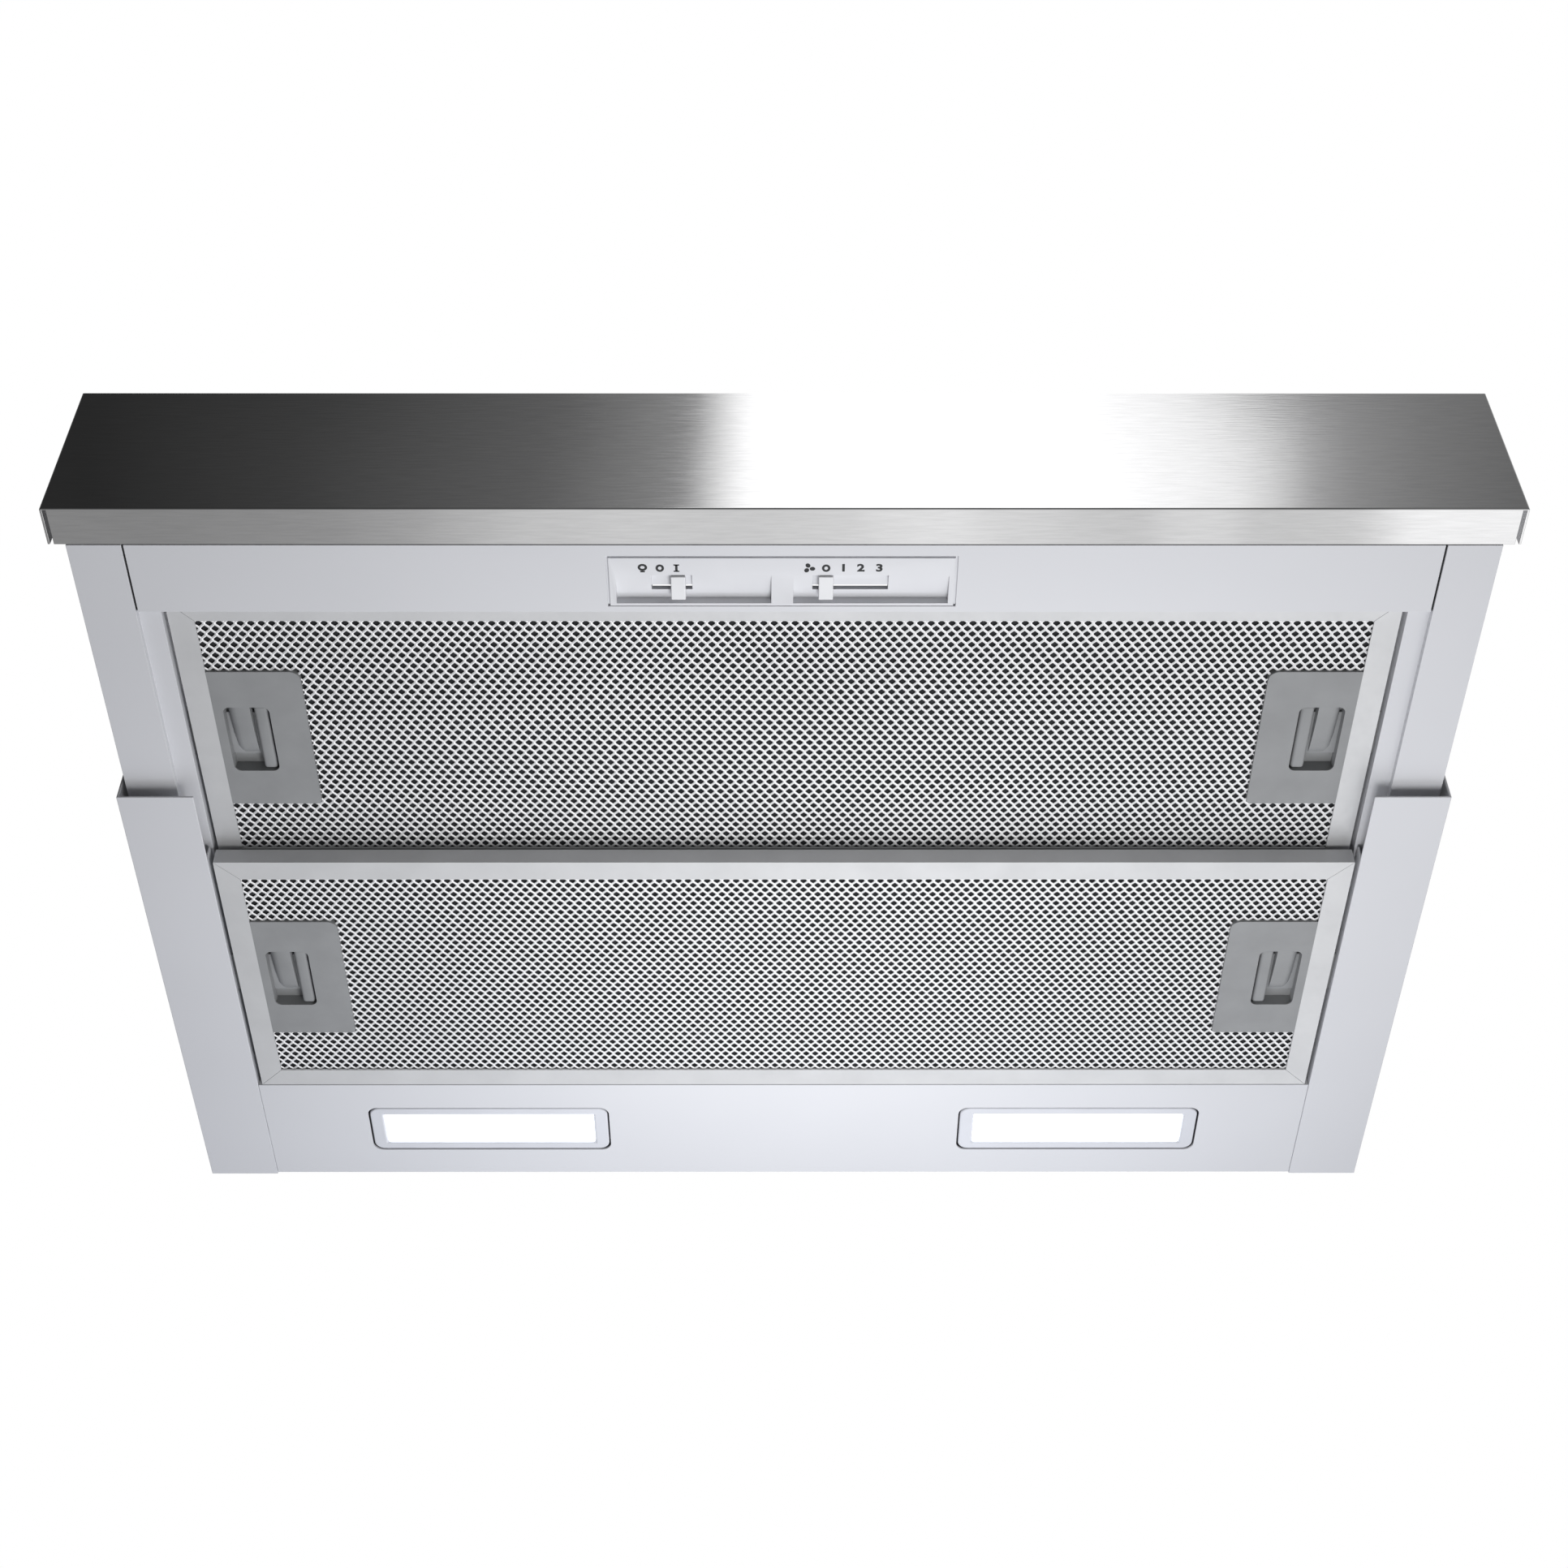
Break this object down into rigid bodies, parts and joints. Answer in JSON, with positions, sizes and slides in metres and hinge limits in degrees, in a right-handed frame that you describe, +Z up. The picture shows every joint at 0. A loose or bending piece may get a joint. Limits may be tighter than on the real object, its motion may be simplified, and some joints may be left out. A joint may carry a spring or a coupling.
{
  "type": "slide-out range hood",
  "caption": "Slide-out cooker hood: a steel-fronted filter drawer with slider controls runs out of a lit tray under a motor box with a duct spigot.",
  "frame": {"origin": "middle of the open hood in plan, level with the underside of the tray", "axes": "+X to the user's right, +Y from the user towards the wall, +Z up"},
  "size_m": [0.598, 0.418, 0.215],
  "materials": {
    "stainless": "brushed along its length",
    "galvanised_steel": "dull zinc coat",
    "painted_steel": "fine satin powder coat",
    "zinc_steel": "bright zinc plate",
    "bearing_steel": "polished",
    "motor_steel": "satin",
    "filter_aluminium": "satin rolled sheet",
    "mesh_aluminium": "expanded mesh",
    "core_aluminium": "layers of fine expanded foil, in shadow",
    "latch_plastic": "fine moulded texture",
    "control_plastic": "fine moulded texture",
    "knob_plastic": "smooth",
    "case_plastic": "moulded",
    "black_plastic": "moulded",
    "cage_plastic": "moulded",
    "lamp_plastic": "moulded",
    "lamp_diffuser": "frosted diffuser, lit",
    "rubber": "soft"
  },
  "bodies": {
    "hood": {"tray_top_panel": "painted_steel", "tray_rear_wall": "painted_steel", "rear_lamp_panel": "painted_steel", "motor_box": "galvanised_steel", "motor_box_lid": "galvanised_steel", "case_screws": "zinc_steel", "motor": "motor_steel", "motor_bracket": "galvanised_steel", "motor_bushes": "rubber", "duct_spigot": "black_plastic", "flap_pin": "zinc_steel", "run_capacitor": "case_plastic", "capacitor_clip": "galvanised_steel", "wiring_box": "black_plastic", "lamp_driver": "case_plastic", "cable_gland": "black_plastic", "drawer_bumpers": "rubber", "tray_left_side": "painted_steel", "lamp_left_housing": "lamp_plastic", "lamp_left_lens": "lamp_diffuser", "outer_rail_left": "zinc_steel", "blower_housing_left": "black_plastic", "tray_right_side": "painted_steel", "lamp_right_housing": "lamp_plastic", "lamp_right_lens": "lamp_diffuser", "outer_rail_right": "zinc_steel", "blower_housing_right": "black_plastic"},
    "drawer": {"fascia": "stainless", "fascia_stiffener": "galvanised_steel", "drawer_front_panel": "painted_steel", "fascia_screws": "zinc_steel", "drawer_rear_bar": "painted_steel", "control_insert": "control_plastic", "light_switch": "case_plastic", "fan_switch": "case_plastic", "front_filter_frame": "filter_aluminium", "front_filter_mesh": "mesh_aluminium", "front_filter_core": "core_aluminium", "front_latch_bases": "latch_plastic", "drawer_left_side": "painted_steel", "inner_rail_left": "zinc_steel", "drawer_right_side": "painted_steel", "inner_rail_right": "zinc_steel"},
    "slide_cages": {"ball_cages": "cage_plastic", "bearing_balls": "bearing_steel"},
    "light_knob": {"light_slider_knob": "knob_plastic"},
    "fan_knob": {"fan_slider_knob": "knob_plastic"},
    "front_latch_left": {"front_latch_slide_left": "latch_plastic"},
    "front_latch_right": {"front_latch_slide_right": "latch_plastic"},
    "rear_filter": {"rear_filter_frame": "filter_aluminium", "rear_filter_mesh": "mesh_aluminium", "rear_filter_core": "core_aluminium", "rear_latch_bases": "latch_plastic"},
    "rear_latch_left": {"rear_latch_slide_left": "latch_plastic"},
    "rear_latch_right": {"rear_latch_slide_right": "latch_plastic"},
    "fan_wheel": {"impeller": "black_plastic", "motor_shaft": "zinc_steel", "impeller_nut": "zinc_steel"},
    "front_flap": {"backdraft_flap_front": "black_plastic"},
    "rear_flap": {"backdraft_flap_rear": "black_plastic"}
  },
  "joints": [
    {"name": "drawer_slide", "type": "slide", "parent": "hood", "child": "drawer", "axis": [0, 1, 0], "range_m": [0, 0.1325]},
    {"name": "ball_cage_slide", "type": "slide", "parent": "hood", "child": "slide_cages", "axis": [0, 1, 0], "range_m": [0, 0.06625]},
    {"name": "light_control_slide", "type": "slide", "parent": "drawer", "child": "light_knob", "axis": [1, 0, 0], "range_m": [-0.0068, 0]},
    {"name": "fan_control_slide", "type": "slide", "parent": "drawer", "child": "fan_knob", "axis": [1, 0, 0], "range_m": [0, 0.0216]},
    {"name": "rear_filter_removal", "type": "slide", "parent": "hood", "child": "rear_filter", "axis": [0, 0, -1], "range_m": [0, 0.06]},
    {"name": "fan_wheel_spin", "type": "hinge", "parent": "hood", "child": "fan_wheel", "pos_m": [0, 0.095, 0.108], "axis": [1, 0, 0], "continuous": true},
    {"name": "front_flap_swing", "type": "hinge", "parent": "hood", "child": "front_flap", "pos_m": [0, 0.059, 0.188], "axis": [-1, 0, 0], "range_deg": [0, 75]},
    {"name": "rear_flap_swing", "type": "hinge", "parent": "hood", "child": "rear_flap", "pos_m": [0, 0.059, 0.188], "axis": [1, 0, 0], "range_deg": [0, 75]},
    {"name": "front_latch_left_pull", "type": "slide", "parent": "drawer", "child": "front_latch_left", "axis": [1, 0, 0], "range_m": [0, 0.007], "stiffness_N_per_m": 250, "springref_m": -0.004},
    {"name": "front_latch_right_pull", "type": "slide", "parent": "drawer", "child": "front_latch_right", "axis": [-1, 0, 0], "range_m": [0, 0.007], "stiffness_N_per_m": 250, "springref_m": -0.004},
    {"name": "rear_latch_left_pull", "type": "slide", "parent": "rear_filter", "child": "rear_latch_left", "axis": [1, 0, 0], "range_m": [0, 0.007], "stiffness_N_per_m": 250, "springref_m": -0.004},
    {"name": "rear_latch_right_pull", "type": "slide", "parent": "rear_filter", "child": "rear_latch_right", "axis": [-1, 0, 0], "range_m": [0, 0.007], "stiffness_N_per_m": 250, "springref_m": -0.004}
  ],
  "couplings": [
    {"joint": "ball_cage_slide", "follows": "drawer_slide", "ratio": 0.5}
  ]
}
